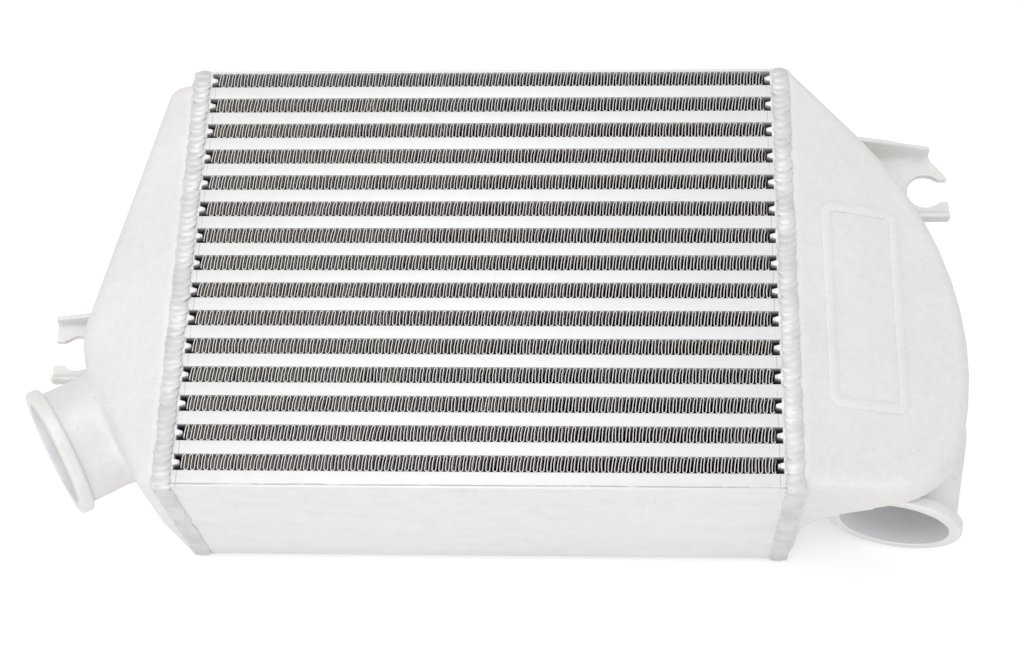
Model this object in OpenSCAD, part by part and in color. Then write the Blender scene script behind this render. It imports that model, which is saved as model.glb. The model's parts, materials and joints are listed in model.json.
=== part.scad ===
// Bar-and-plate charge-air cooler with two cast end tanks.
// X runs along the core from tank to tank, Y up the stack of rows, Z with the cooling air.
// The origin is the middle of the core's lower face.

/* [Core] */
// Length of the core between the two end tanks
core_len = 318; // [280:1:360]
// Thickness of the core, the way the cooling air passes through it
core_h = 112; // [104:1:124]
// Height of one row of cooling-air fins, between two charge tubes
fin_row_h = 8.8; // [7.5:0.1:9.5]
// Outside width of one charge tube
tube_w = 7.2; // [6.5:0.1:8.5]
// Thickness of the parting sheets that close a charge tube
sheet_t = 0.6; // [0.4:0.1:1]
// Thickness of the long bars along the edges of a charge tube
bar_t = 6; // [4:0.5:9]
// Thickness of the side plate at the front of the stack
front_plate_t = 1.6; // [1:0.1:4]
// Thickness of the side plate at the rear of the stack
rear_plate_t = 1.6; // [1:0.1:4]

/* [Fins] */
// Folds in one row of cooling-air fins
fin_waves = 46; // [20:1:60]
// Thickness of the cooling-air fin sheet
fin_t = 0.45; // [0.2:0.05:0.8]
// Folds in the fin inside a charge tube
inner_waves = 13; // [6:1:20]
// Thickness of the inner fin sheet
inner_t = 0.4; // [0.2:0.05:0.6]
// Brazing gap between a fin crest and the sheet beside it
braze_gap = 0.05; // [0.02:0.01:0.2]
// Length of the bars that close a fin row at its ends, to the shoulder of the nose
spacer_len = 5.5; // [3:0.5:10]
// Length of the nose on those bars
spacer_nose = 3; // [1:0.5:5]
// Width of that nose at its root
nose_w = 3.4; // [2:0.2:6]
// Gap between a nose and the first fold
spacer_gap = 1; // [0.5:0.1:3]

/* [End tanks] */
// Wall of the castings
tank_wall = 4; // [2.5:0.5:4]
// Straight length of a tank's rim, under the weld bead
rim_len = 6.5; // [6:0.5:12]
// Rounding of the casting's long edges where it leaves the rim
rim_r = 7; // [5:0.5:8]
// How far the left casting stands in from its rim at the rear
left_rim_inset = 6; // [0:0.5:6]
// How far the right casting stands in from its rim at the front
right_rim_inset = 3.5; // [0:0.5:4]
// Rounding of the castings' outer edges
edge_r = 9; // [7:0.5:12]
// Fall of the tank tops away from the core, in degrees
top_fall = 18.7; // [8:0.1:22]
// Rise of the tank floors away from the core, in degrees
floor_rise = 6; // [2:0.5:9]
// How far the left tank reaches past the core
left_reach = 55.3; // [45:0.1:70]
// Place of the left tank's nose along the stack
left_nose_y = -32; // [-50:1:0]
// Rounding of the left tank's nose, seen from above
left_nose_r = 45; // [25:1:50]
// How far the rear corner of the left tank reaches past the core
left_rear_reach = 20; // [18:1:30]
// How far that corner stands in from the rear of the core
left_rear_inset = 5; // [4:1:20]
// How far the front corner of the left tank reaches past the core
left_front_reach = 15.5; // [15:0.5:24]
// Height at which the left tank's walls turn in towards their foot
left_break_z = 44; // [36:1:50]
// How far the foot of the left tank's walls stands in from their upper half
left_foot_inset = 13; // [4:1:18]
// How far the right tank reaches past the core
right_reach = 96.5; // [80:0.5:110]
// Radius of the right tank's curved wall
right_arc_r = 171.5; // [155:0.5:190]
// Place of the middle of that curve along the stack
right_arc_y = -36; // [-45:1:-25]
// Rounding of the right tank's front corner, seen from above
right_corner_r = 44; // [25:1:50]
// How far the top of the right tank's front wall stands in from the core's front
right_front_inset = 6.5; // [5:0.5:15]
// How far that wall leans out again on its way down
right_front_lean = 3; // [0:0.5:5]
// Height at which the right tank's walls turn in towards their foot
right_break_z = 62; // [50:1:66]
// How far the foot of its curved wall stands in from the upper half
right_foot_inset = 4; // [2:1:10]
// How far the foot of its front wall stands in from the upper half
right_foot_setback = 20; // [10:1:24]
// Radius of the arched scoop in that wall, which leaves room for the hose
scoop_r = 49; // [44:0.5:50]
// How far the middle of that arch lies below the neck's axis
scoop_drop = 9.5; // [6:0.5:12]
// How far the scoop runs in behind the right mouth
scoop_depth = 22; // [14:1:26]

/* [Hose necks] */
// Outside diameter of the hose necks
neck_d = 63.5; // [57:0.5:66]
// Wall of the necks
neck_wall = 3; // [2:0.1:4]
// Height of the raised lip above the neck
lip_h = 3.7; // [2:0.1:4]
// Width of the raised lip
lip_w = 7; // [5:0.5:9]
// Height of the left mouth's middle above the core's lower face
left_neck_z = 70; // [60:0.5:72]
// Turn of the left neck from the core's long axis, in degrees
left_neck_turn = 32.6; // [24:0.1:38]
// Upward tilt of the left neck, in degrees
left_neck_tilt = 9.7; // [0:0.1:12]
// Distance of the left mouth past the core
left_mouth_reach = 69.5; // [65:0.5:80]
// Place of the left mouth along the stack
left_mouth_y = -89.5; // [-95:0.5:-80]
// Height of the right neck's axis above the core's lower face
right_neck_z = 34.5; // [34:0.5:40]
// Turn of the right neck from straight forward, in degrees
right_neck_turn = 11; // [0:0.1:14]
// Distance of the right mouth past the core
right_mouth_reach = 58.5; // [54:0.5:62]
// Distance of the right mouth in from the core's front
right_mouth_inset = 8; // [2:0.5:12]
// Length of the duct behind the right mouth
right_duct_len = 52; // [40:1:70]
// How far the left neck runs in behind the tank's nose
left_neck_root = 40; // [30:1:45]

/* [Mounting forks] */
// Diameter of the eyes that take the rubber bushes
eye_d = 20; // [16:0.5:21]
// Width of the slots that lead into the eyes
slot_w = 13.6; // [9:0.2:14]
// Thickness of the fork plates
fork_t = 4; // [3:0.5:6]
// Thickness of the ribs along the forks
rib_t = 3; // [2.5:0.5:5]
// Height of the front ribs above the plate's underside
front_rib_h = 7.5; // [6:0.5:12]
// Height of the left rear rib at its tip
left_rib_h = 9; // [6:0.5:14]
// Height of the right rear rib at its tip
right_rib_h = 13.5; // [8:0.5:16]
// Rise of the rear ribs towards the castings, in degrees
rib_rise = 14; // [0:1:20]
// Height of the forks' undersides above the core's lower face
fork_z = 44; // [30:1:46]
// Distance from an eye's middle to the tips of its fork
fork_tip = 13; // [12:0.5:18]
// Distance from an eye's middle to the outside of its front rib
fork_front = 18; // [16:0.5:22]
// Distance from the left eye's middle to the outside of its rear rib
left_fork_rear = 20.5; // [18:0.5:24]
// Distance from the right eye's middle to the outside of its rear rib
right_fork_rear = 24.5; // [20:0.5:28]
// Distance of the left eye past the core
left_eye_reach = 70.5; // [68:0.5:78]
// Place of the left eye along the stack
left_eye_y = -21.5; // [-26:0.5:-10]
// Distance of the right eye past the core
right_eye_reach = 85.5; // [78:0.5:95]
// Place of the right eye along the stack
right_eye_y = 80; // [70:0.5:90]

/* [Weld beads and panel] */
// Width of the weld beads
bead_w = 10.8; // [8:0.2:12]
// Height of the weld beads above the core
bead_h = 2.6; // [1.5:0.1:4]
// Distance of the middle of the right tank's panel past the core
panel_reach = 40; // [36:1:44]
// Place of that middle along the stack
panel_y = -16; // [-24:1:-8]
// Length of the raised border round the panel
panel_len = 117; // [90:1:130]
// Width of that border, across the tank
panel_w = 44; // [30:1:50]
// Width of the raised line that draws it
panel_line = 5; // [3:0.5:8]
// Height of that line
panel_h = 1; // [0.5:0.1:2]
// Rounding of the border's outer corners
panel_corner_r = 7; // [5.5:0.5:12]

/* [Hidden] */
$fn = 96;
row_count = 15;
row_pitch = fin_row_h + tube_w;
core_depth = row_count * row_pitch + front_plate_t + rear_plate_t;
core_end = core_len / 2;
core_rear = core_depth / 2;
core_front = -core_depth / 2;
rim_end = core_end + rim_len;
cast_fn = 32;
inside_fn = 16;
neck_r = neck_d / 2;
bore_r = neck_r - neck_wall;
lip_r = neck_r + lip_h;
overrun = 1;
arc_steps = 12;
corner_steps = 6;
waist_h = 0.1;
rim_wall = 2;
rim_gap = 2.5;

// Middle of fin row k and of charge tube k, counted from the rear
function row_y(k) = core_rear - rear_plate_t - fin_row_h / 2 - (k - 1) * row_pitch;
function tube_y(k) = row_y(k) - row_pitch / 2;

// Height of the sloping top and floor at a distance x from the middle of the core
function top_z(x) = core_h - (x - rim_end) * tan(top_fall);
function floor_z(x) = (x - rim_end) * tan(floor_rise);

// A folded sheet: a zigzag of `waves` folds along X, `h` high from crest to crest in Y
function fold_rise(t, h, half) = t * sqrt(h * h + half * half) / half;
module folded_sheet(len, h, waves, t) {
    half = len / waves / 2;
    rise = fold_rise(t, h, half);
    crest = (h - rise) / 2;
    upper = [for (i = [0:2 * waves]) [-len / 2 + i * half, (i % 2 == 0 ? -crest : crest) + rise / 2]];
    lower = [for (i = [2 * waves:-1:0]) [-len / 2 + i * half, (i % 2 == 0 ? -crest : crest) - rise / 2]];
    polygon(concat(upper, lower));
}

module air_fin(k) {
    fin_len = core_len - 2 * (spacer_len + spacer_nose + spacer_gap);
    color("slategray")
        translate([0, row_y(k), 0])
            linear_extrude(core_h)
                folded_sheet(fin_len, fin_row_h - 2 * braze_gap, fin_waves, fin_t);
}

// Two parting sheets and two long bars, brazed into one flat tube
module charge_tube(k) {
    color("gainsboro")
        translate([-core_end, tube_y(k), core_h / 2])
            rotate([90, 0, 90])
                linear_extrude(core_len)
                    difference() {
                        square([tube_w, core_h], center = true);
                        square([tube_w - 2 * sheet_t, core_h - 2 * bar_t], center = true);
                    }
}

module turbulator(k) {
    inner_h = tube_w - 2 * sheet_t - 2 * braze_gap;
    inner_w = core_h - 2 * bar_t - 2 * braze_gap;
    color("silver")
        translate([-core_end + overrun, tube_y(k), core_h / 2])
            rotate([90, 0, 90])
                linear_extrude(core_len - 2 * overrun)
                    rotate(90)
                        folded_sheet(inner_w, inner_h, inner_waves, inner_t);
}

// The bars that close the fin rows at one end of the core, each with a blunt nose
module spacer_bars(side) {
    half = fin_row_h / 2;
    shoulder = core_end - spacer_len;
    root = nose_w / 2;
    tip = nose_w / 4;
    color("silver")
        for (k = [1:row_count])
            translate([0, row_y(k), 0])
                linear_extrude(core_h)
                    polygon([[side * core_end, -half], [side * core_end, half], [side * shoulder, half],
                        [side * shoulder, root], [side * (shoulder - spacer_nose), tip],
                        [side * (shoulder - spacer_nose), -tip], [side * shoulder, -root],
                        [side * shoulder, -half]]);
}

module front_side_plate() {
    color("gainsboro")
        translate([-core_end, core_front, 0])
            cube([core_len, front_plate_t, core_h]);
}

module rear_side_plate() {
    color("gainsboro")
        translate([-core_end, core_rear - rear_plate_t, 0])
            cube([core_len, rear_plate_t, core_h]);
}

// Half the section of a bead: across the bead in Y, height above the metal in X
bead_r = (bead_w * bead_w / 4 + bead_h * bead_h) / (2 * bead_h);
module bead_section() {
    intersection() {
        translate([bead_h - bead_r, 0])
            circle(bead_r);
        translate([0, -bead_w / 2])
            square([bead_h + overrun, bead_w]);
    }
}

// The bead round the joint between a tank and the core
module weld(side) {
    color("whitesmoke")
        translate([side * core_end, 0, core_h / 2])
            rotate([0, 90, 0]) {
                for (turn = [0, 180])
                    rotate(turn)
                        translate([core_h / 2, core_depth / 2, 0])
                            rotate([90, 0, 0])
                                linear_extrude(core_depth)
                                    bead_section();
                for (turn = [90, 270])
                    rotate(turn)
                        translate([core_depth / 2, core_h / 2, 0])
                            rotate([90, 0, 0])
                                linear_extrude(core_h)
                                    bead_section();
                for (x = [-1, 1], y = [-1, 1])
                    translate([x * core_h / 2, y * core_depth / 2, 0])
                        rotate(x > 0 ? (y > 0 ? 0 : -90) : (y > 0 ? 90 : 180))
                            rotate_extrude(angle = 90)
                                bead_section();
            }
}

// Middles of the rounded posts that a casting is stretched over, as [x, y], x away from the core
function round_stretch(x, y, r, from, to, steps) = [for (i = [0:steps])
    let (a = from + (to - from) * i / steps) [x + (r - edge_r) * cos(a), y + (r - edge_r) * sin(a)]];

left_nose_x = core_end + left_reach - left_nose_r;
left_rear_post = [core_end + left_rear_reach - edge_r, core_rear - left_rear_inset - edge_r];
left_front_post = [core_end + left_front_reach - edge_r, core_front + edge_r];
nose_turn = 20;
nose_end_turn = -34;
left_posts = concat([left_rear_post],
    round_stretch(left_nose_x, left_nose_y, left_nose_r, nose_turn, nose_end_turn, corner_steps),
    [left_front_post]);

right_arc_x = core_end + right_reach - right_arc_r;
corner_y = core_front + right_front_inset + right_corner_r;
corner_x = right_arc_x + sqrt(pow(right_arc_r - right_corner_r, 2) - pow(corner_y - right_arc_y, 2));
corner_turn = atan2(corner_y - right_arc_y, corner_x - right_arc_x);
rear_turn = asin((core_rear - edge_r - right_arc_y) / right_arc_r);
right_posts = concat(
    round_stretch(right_arc_x, right_arc_y, right_arc_r, rear_turn, corner_turn, arc_steps),
    round_stretch(corner_x, corner_y, right_corner_r, corner_turn, -90, corner_steps));

// The same posts where the walls turn in, and at their foot
right_waist = [for (p = right_posts)
    [p[0], p[1] - right_front_lean * max(0, corner_y - p[1]) / (right_corner_r - edge_r)]];
left_feet = [for (p = left_posts) let (v = [rim_end - p[0], left_nose_y - p[1]])
    p + v / norm(v) * left_foot_inset];
right_feet = [for (p = right_posts)
    [p[0] - right_foot_inset, max(p[1], corner_y - right_corner_r + edge_r + right_foot_setback)]];

// A casting on the +X side: a rim as large as the core, under the bead, and a hull that starts
// `front_in` and `rear_in` further in. `skin` shrinks the hull for the inside, which is widened at the
// rim so that every tube opens into it
module tank_form(posts, waist, feet, break_z, front_in, rear_in, skin, fn) {
    intersection() {
        translate([core_end - overrun, core_front, 0])
            cube([left_reach + right_reach, core_depth, core_h]);
        tank_hull(posts, waist, feet, break_z, front_in, rear_in, skin, fn);
    }
    if (skin == 0)
        translate([core_end, core_front, 0])
            cube([bead_w / 2, core_depth, core_h]);
    else
        translate([core_end - overrun, core_front + rim_wall, rim_wall])
            cube([overrun + rim_gap, core_depth - 2 * rim_wall, core_h - 2 * rim_wall]);
}

module tank_hull(posts, waist, feet, break_z, front_in, rear_in, skin, fn) {
    behind = skin > 0 ? overrun : 0;
    r = edge_r - skin;
    hull() {
        translate([core_end - behind, (front_in - rear_in) / 2, core_h / 2])
            rotate([90, 0, 90])
                linear_extrude(rim_len + behind)
                    rounded_rect(core_depth - front_in - rear_in - 2 * skin, core_h - 2 * skin, rim_r - skin);
        for (p = posts)
            translate([p[0], p[1], top_z(p[0]) - edge_r / cos(top_fall)])
                sphere(r, $fn = fn);
        for (p = waist)
            translate([p[0], p[1], break_z])
                cylinder(h = waist_h, r = r, $fn = fn);
        for (p = feet)
            translate([p[0], p[1], floor_z(p[0]) + edge_r / cos(floor_rise)])
                sphere(r, $fn = fn);
    }
}

module left_form(skin, fn) {
    tank_form(left_posts, left_posts, left_feet, left_break_z, 0, left_rim_inset, skin, fn);
}

// The right casting's form less the scoop under its front wall, which grows with `skin`
module right_form(skin, fn) {
    difference() {
        tank_form(right_posts, right_waist, right_feet, right_break_z, right_rim_inset, 0, skin, fn);
        right_neck_place()
            translate([0, scoop_depth + skin, -scoop_drop])
                rotate([90, 0, 0])
                    linear_extrude(scoop_depth + skin + scoop_r)
                        arch(scoop_r + skin);
    }
}

// A round arch on straight legs
module arch(r) {
    circle(r);
    translate([-r, -r])
        square([2 * r, r]);
}

// A hose neck with its lip, pointing along -Y from its mouth at the origin
module neck(len) {
    rotate([-90, 0, 0])
        cylinder(h = len, r = neck_r);
    rotate([-90, 0, 0])
        rotate_extrude()
            lip_section();
}

lip_round = 1.6;
module lip_section() {
    translate([bore_r, lip_round])
        square([lip_r - bore_r, lip_w - 2 * lip_round]);
    translate([bore_r, 0])
        square([lip_r - bore_r - lip_round, lip_w]);
    for (y = [lip_round, lip_w - lip_round])
        translate([lip_r - lip_round, y])
            circle(lip_round);
}

// A fork on the +X side with its eye at the origin: a plate with a keyhole slot and a rib along each
// edge. `rib_end` is where the rear rib stops, and `shoulder` how wide the rear arm is at its tip
module fork(rear, rear_h, rib_end, shoulder, root) {
    linear_extrude(fork_t)
        difference() {
            polygon([[-root, rear], [rib_end, rear], [rib_end, rear - rib_t], [fork_tip, shoulder],
                [fork_tip, -fork_front], [-root, -fork_front]]);
            circle(d = eye_d);
            translate([0, -slot_w / 2])
                square([fork_tip + overrun, slot_w]);
        }
    translate([0, rear, 0])
        rib(rib_end, rear_h, rear_h + (root + rib_end) * tan(rib_rise), root);
    translate([0, rib_t - fork_front, 0])
        rib(fork_tip, front_rib_h, front_rib_h, root);
}

// A rib under the line y = 0, from its height at the tip to its height at the root
module rib(end, tip_h, root_h, root) {
    rotate([90, 0, 0])
        linear_extrude(rib_t)
            polygon([[-root, 0], [end, 0], [end, tip_h], [-root, root_h]]);
}

module left_neck_place() {
    translate([core_end + left_mouth_reach, left_mouth_y, left_neck_z])
        rotate(90 - left_neck_turn)
            rotate([-left_neck_tilt, 0, 0])
                children();
}

module right_neck_place() {
    translate([core_end + right_mouth_reach, core_front + right_mouth_inset, right_neck_z])
        rotate(-right_neck_turn)
            children();
}

left_neck_len = left_mouth_reach - left_reach + left_neck_root;
left_fork_root = left_eye_reach - left_reach + 2 * edge_r;
right_rib_y = right_eye_y + right_fork_rear - right_arc_y;
right_rib_wall_x = right_arc_x + sqrt(pow(right_arc_r, 2) - pow(right_rib_y, 2));
right_fork_root = core_end + right_eye_reach - right_rib_wall_x + tank_wall;
right_rib_end = fork_tip / 4;
right_shoulder = slot_w / 2 + 2;

// Both tanks are drawn on the +X side, and the left one is mirrored across
module left_tank() {
    color("lightgray")
        mirror([1, 0, 0])
            difference() {
                union() {
                    left_form(0, cast_fn);
                    left_neck_place() neck(left_neck_len);
                    translate([core_end + left_eye_reach, left_eye_y, fork_z])
                        fork(left_fork_rear, left_rib_h, fork_tip, left_fork_rear - rib_t, left_fork_root);
                }
                left_form(tank_wall, inside_fn);
                left_neck_place()
                    translate([0, -overrun, 0])
                        rotate([-90, 0, 0])
                            cylinder(h = left_neck_len + 2 * overrun, r = bore_r);
            }
}

module panel_border() {
    difference() {
        rounded_rect(panel_w, panel_len, panel_corner_r);
        rounded_rect(panel_w - 2 * panel_line, panel_len - 2 * panel_line, panel_corner_r - panel_line);
    }
}

module rounded_rect(w, l, r) {
    square([w - 2 * r, l], center = true);
    square([w, l - 2 * r], center = true);
    for (x = [-1, 1], y = [-1, 1])
        translate([x * (w / 2 - r), y * (l / 2 - r)])
            circle(r);
}

module right_tank() {
    color("lightgray")
        difference() {
            union() {
                right_form(0, cast_fn);
                right_neck_place() {
                    neck(right_duct_len);
                    translate([0, right_duct_len, 0])
                        sphere(neck_r);
                }
                translate([core_end + right_eye_reach, right_eye_y, fork_z])
                    fork(right_fork_rear, right_rib_h, right_rib_end, right_shoulder, right_fork_root);
                translate([core_end + panel_reach, panel_y, top_z(core_end + panel_reach) - overrun])
                    rotate([0, top_fall, 0])
                        linear_extrude(panel_h + overrun)
                            panel_border();
            }
            right_form(tank_wall, inside_fn);
            right_neck_place() {
                translate([0, -overrun, 0])
                    rotate([-90, 0, 0])
                        cylinder(h = right_duct_len + overrun, r = bore_r);
                translate([0, right_duct_len, 0])
                    sphere(bore_r);
            }
        }
}

left_tank();
right_tank();
weld(-1);  // left_weld
weld(1);  // right_weld
front_side_plate();
rear_side_plate();
spacer_bars(-1);  // left_spacer_bars
spacer_bars(1);  // right_spacer_bars
air_fin(1);  // air_fin_01
air_fin(2);  // air_fin_02
air_fin(3);  // air_fin_03
air_fin(4);  // air_fin_04
air_fin(5);  // air_fin_05
air_fin(6);  // air_fin_06
air_fin(7);  // air_fin_07
air_fin(8);  // air_fin_08
air_fin(9);  // air_fin_09
air_fin(10);  // air_fin_10
air_fin(11);  // air_fin_11
air_fin(12);  // air_fin_12
air_fin(13);  // air_fin_13
air_fin(14);  // air_fin_14
air_fin(15);  // air_fin_15
charge_tube(1);  // charge_tube_01
charge_tube(2);  // charge_tube_02
charge_tube(3);  // charge_tube_03
charge_tube(4);  // charge_tube_04
charge_tube(5);  // charge_tube_05
charge_tube(6);  // charge_tube_06
charge_tube(7);  // charge_tube_07
charge_tube(8);  // charge_tube_08
charge_tube(9);  // charge_tube_09
charge_tube(10);  // charge_tube_10
charge_tube(11);  // charge_tube_11
charge_tube(12);  // charge_tube_12
charge_tube(13);  // charge_tube_13
charge_tube(14);  // charge_tube_14
charge_tube(15);  // charge_tube_15
turbulator(1);  // turbulator_01
turbulator(2);  // turbulator_02
turbulator(3);  // turbulator_03
turbulator(4);  // turbulator_04
turbulator(5);  // turbulator_05
turbulator(6);  // turbulator_06
turbulator(7);  // turbulator_07
turbulator(8);  // turbulator_08
turbulator(9);  // turbulator_09
turbulator(10);  // turbulator_10
turbulator(11);  // turbulator_11
turbulator(12);  // turbulator_12
turbulator(13);  // turbulator_13
turbulator(14);  // turbulator_14
turbulator(15);  // turbulator_15
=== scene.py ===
# %% [markdown]
# # A bar-and-plate intercooler
# Hot charge air from a turbocharger enters one cast end tank, is spread over fifteen flat tubes and
# leaves through the other tank. Cooling air passes between the tubes, through rows of folded fins.
# The solids of the cooler come as a fixed frame. This lesson dresses them: soft castings, rippled
# weld beads, fine folded fins, satin bars, and the light that shows them.

# %% Load the frame
import bpy
import json
import math
import random
from mathutils import Matrix, Vector


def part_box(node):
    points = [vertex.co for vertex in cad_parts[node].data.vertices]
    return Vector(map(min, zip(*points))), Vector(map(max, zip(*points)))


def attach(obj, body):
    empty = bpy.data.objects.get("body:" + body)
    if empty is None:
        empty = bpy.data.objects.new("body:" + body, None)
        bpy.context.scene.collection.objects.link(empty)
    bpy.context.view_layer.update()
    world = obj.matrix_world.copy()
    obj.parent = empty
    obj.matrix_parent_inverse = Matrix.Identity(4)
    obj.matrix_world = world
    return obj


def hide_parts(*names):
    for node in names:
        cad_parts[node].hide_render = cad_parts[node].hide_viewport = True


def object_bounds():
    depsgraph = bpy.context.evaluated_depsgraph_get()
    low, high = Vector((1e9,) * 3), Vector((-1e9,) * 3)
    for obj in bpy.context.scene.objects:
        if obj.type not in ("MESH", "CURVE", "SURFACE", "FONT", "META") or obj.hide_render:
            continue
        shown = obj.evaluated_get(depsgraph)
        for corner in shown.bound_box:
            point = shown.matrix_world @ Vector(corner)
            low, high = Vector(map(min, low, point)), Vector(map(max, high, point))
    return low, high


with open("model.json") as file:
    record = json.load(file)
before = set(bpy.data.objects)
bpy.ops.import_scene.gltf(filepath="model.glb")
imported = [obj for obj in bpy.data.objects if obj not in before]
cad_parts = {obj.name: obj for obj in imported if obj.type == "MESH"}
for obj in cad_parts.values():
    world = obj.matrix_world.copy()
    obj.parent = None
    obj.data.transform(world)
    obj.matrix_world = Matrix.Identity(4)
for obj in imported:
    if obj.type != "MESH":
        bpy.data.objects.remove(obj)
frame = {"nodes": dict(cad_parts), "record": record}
cad_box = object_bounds()
MM = 0.001
print("nodes in the frame:", len(frame["nodes"]))

# %% [markdown]
# ## The sizes that the pieces hang on
# Every place is read from the frame, so that a changed solid moves its dressing with it. The core is a
# block of tubes. Its ends carry the tanks, and both hose necks have an axis that starts in the middle
# of the mouth and runs into the casting.

# %% Read the sizes of the core and of the necks
tube_low, tube_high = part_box("charge_tube_15")
plate_low, plate_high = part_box("front_side_plate")
rear_low, rear_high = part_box("rear_side_plate")
core_end = tube_high[0]
core_front, core_rear = plate_low[1], rear_high[1]
core_low, core_top = tube_low[2], tube_high[2]
mounts = {m["name"]: m for m in frame["record"]["mounts"]}


def mouth(name, lip_inset):
    """Middle of a mouth, and the unit vector that leaves the casting there."""
    out = Vector(mounts[name]["axis"]).normalized()
    return Vector(mounts[name]["pos_m"]) + out * lip_inset, out


neck_r, bore_r, lip_r, lip_w, lip_round = 31.75 * MM, 28.75 * MM, 35.45 * MM, 7 * MM, 1.6 * MM
left_mouth, left_out = mouth("left_hose_lip", lip_w / 2)
right_mouth, right_out = mouth("right_hose_lip", lip_w / 2)
print("core", core_end * 2, "x", core_rear - core_front, "x", core_top)
print("mouths", left_mouth, right_mouth)

# %% [markdown]
# ## Small helpers for work at the bench
# An operator acts on everything that is selected, so each job starts by selecting one piece and nothing
# else. A copy of a solid is merged first, because its triangles come loose.

# %% Helpers that select, apply and copy


def take(piece, *others):
    """Select these pieces alone, the first of them active."""
    if bpy.context.object and bpy.context.object.mode != "OBJECT":
        bpy.ops.object.mode_set(mode="OBJECT")
    bpy.ops.object.select_all(action="DESELECT")
    for obj in (piece, *others):
        obj.select_set(True)
    bpy.context.view_layer.objects.active = piece
    return piece


def finish_with(piece, kind, **settings):
    """Add a modifier with these settings and apply it."""
    take(piece)
    mod = piece.modifiers.new(kind.lower(), kind)
    for name, value in settings.items():
        setattr(mod, name, value)
    bpy.ops.object.modifier_apply(modifier=mod.name)


def own_copy(source, name):
    """A copy with its own mesh, linked to the scene and free of any parent."""
    piece = source.copy()
    piece.data = source.data.copy()
    piece.name = piece.data.name = name
    piece.parent = None
    piece.matrix_world = Matrix.Identity(4)
    bpy.context.scene.collection.objects.link(piece)
    return piece


def merged_copy(node, name):
    """A copy of a solid with its loose triangles merged into one skin."""
    piece = own_copy(frame["nodes"][node], name)
    piece.data.materials.clear()
    take(piece)
    bpy.ops.object.mode_set(mode="EDIT")
    bpy.ops.mesh.select_all(action="SELECT")
    bpy.ops.mesh.remove_doubles(threshold=1e-6)
    bpy.ops.object.mode_set(mode="OBJECT")
    return piece


def triangles(piece):
    piece.data.calc_loop_triangles()
    return len(piece.data.loop_triangles)


def stand_on_axis(piece, place, out):
    """Turn a piece made along +Z so that it points along `out` from `place`, and settle it there."""
    piece.matrix_world = Matrix.Translation(place) @ out.to_track_quat("Z", "X").to_matrix().to_4x4()
    take(piece)
    bpy.ops.object.transform_apply(location=True, rotation=True, scale=True)


# %% [markdown]
# ## The camera
# The cooler is seen from in front and well above, through a longish lens, turned slightly to one side.

# %% Place the camera
camera_data = bpy.data.cameras.new("camera")
camera_data.lens = 66.444
camera_data.sensor_width = 36
camera_data.clip_start = 0.01
camera = bpy.data.objects.new("camera", camera_data)
bpy.context.scene.collection.objects.link(camera)
camera.matrix_world = Matrix((
    (0.99858, -0.00240, 0.05327, 0.06823),
    (0.02401, 0.91222, -0.40899, -0.43090),
    (-0.04761, 0.40969, 0.91098, 1.00302),
    (0, 0, 0, 1)))
bpy.context.scene.camera = camera
print("camera at", tuple(round(v, 3) for v in camera.location))

# %% [markdown]
# ## The end tanks
# A tank is sand-cast aluminium: every inside corner has a fillet, every outside edge is soft, and only
# the mouths are turned afterwards. A voxel remesh gives the merged solid one even skin, and smoothing
# then rounds it as sand does. The smoothing is strongest where a neck leaves the wall.

# %% Soften a casting


def soften(piece, voxel, groups):
    """Remesh a casting and smooth it; `groups` is a list of (test, passes) pairs."""
    finish_with(piece, "REMESH", mode="VOXEL", voxel_size=voxel, use_smooth_shade=True)
    full = triangles(piece)
    for number, (test, passes) in enumerate(groups):
        group = piece.vertex_groups.new(name="soft_%d" % number)
        for vertex in piece.data.vertices:
            weight = test(vertex.co)
            if weight > 0:
                group.add([vertex.index], min(1.0, weight), "REPLACE")
        finish_with(piece, "SMOOTH", vertex_group=group.name, iterations=passes, factor=0.5)
    piece.vertex_groups.clear()
    finish_with(piece, "DECIMATE", ratio=0.4)
    print(piece.name, "remeshed to", full, "triangles, thinned to", triangles(piece))


def near_neck_root(place, out, behind, width):
    """Weight that rises near the outside of a neck, from `behind` the mouth inwards."""
    def test(co):
        along = (place - co).dot(out)
        radial = ((co - place) + out * along).length
        if along < behind or radial > neck_r + 3 * width or radial < bore_r - width:
            return 0
        rise = min(1, (along - behind) / width)
        return rise * max(0, 1 - max(0, radial - neck_r - width) / (2 * width))
    return test


def everywhere(co):
    return 1


def at_rim(co):
    """Weight over the first few millimetres past the core, where the casting's edges are rounded."""
    return max(0, 1 - max(0, abs(co.x) - core_end - 14 * MM) / (10 * MM))


left_tank = merged_copy("left_tank", "left_cast_tank")
right_tank = merged_copy("right_tank", "right_cast_tank")
soften(left_tank, 1.2 * MM, [
    (everywhere, 2), (at_rim, 10), (near_neck_root(left_mouth, left_out, 16 * MM, 7 * MM), 80)])
soften(right_tank, 1.2 * MM, [
    (everywhere, 2), (at_rim, 10), (near_neck_root(right_mouth, right_out, 13 * MM, 5 * MM), 24)])

# %% [markdown]
# ## The turned mouths
# Each hose neck ends in a lip that keeps the hose on. It is turned in a lathe, so it is crisp where the
# casting is soft. One lip is made from a cylinder: its caps are inset and extruded into a short sleeve,
# the inner faces are bridged into a bore, and the corners are bevelled.

# %% Model a turned lip
lip_step, cut_back = 8 * MM, 8.8 * MM


def open_edges(piece):
    """Numbers of the edges that have a face on one side only."""
    seen = {}
    for face in piece.data.polygons:
        for key in face.edge_keys:
            seen[key] = seen.get(key, 0) + 1
    return {edge.index for edge in piece.data.edges if seen.get(edge.key) == 1}


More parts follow.
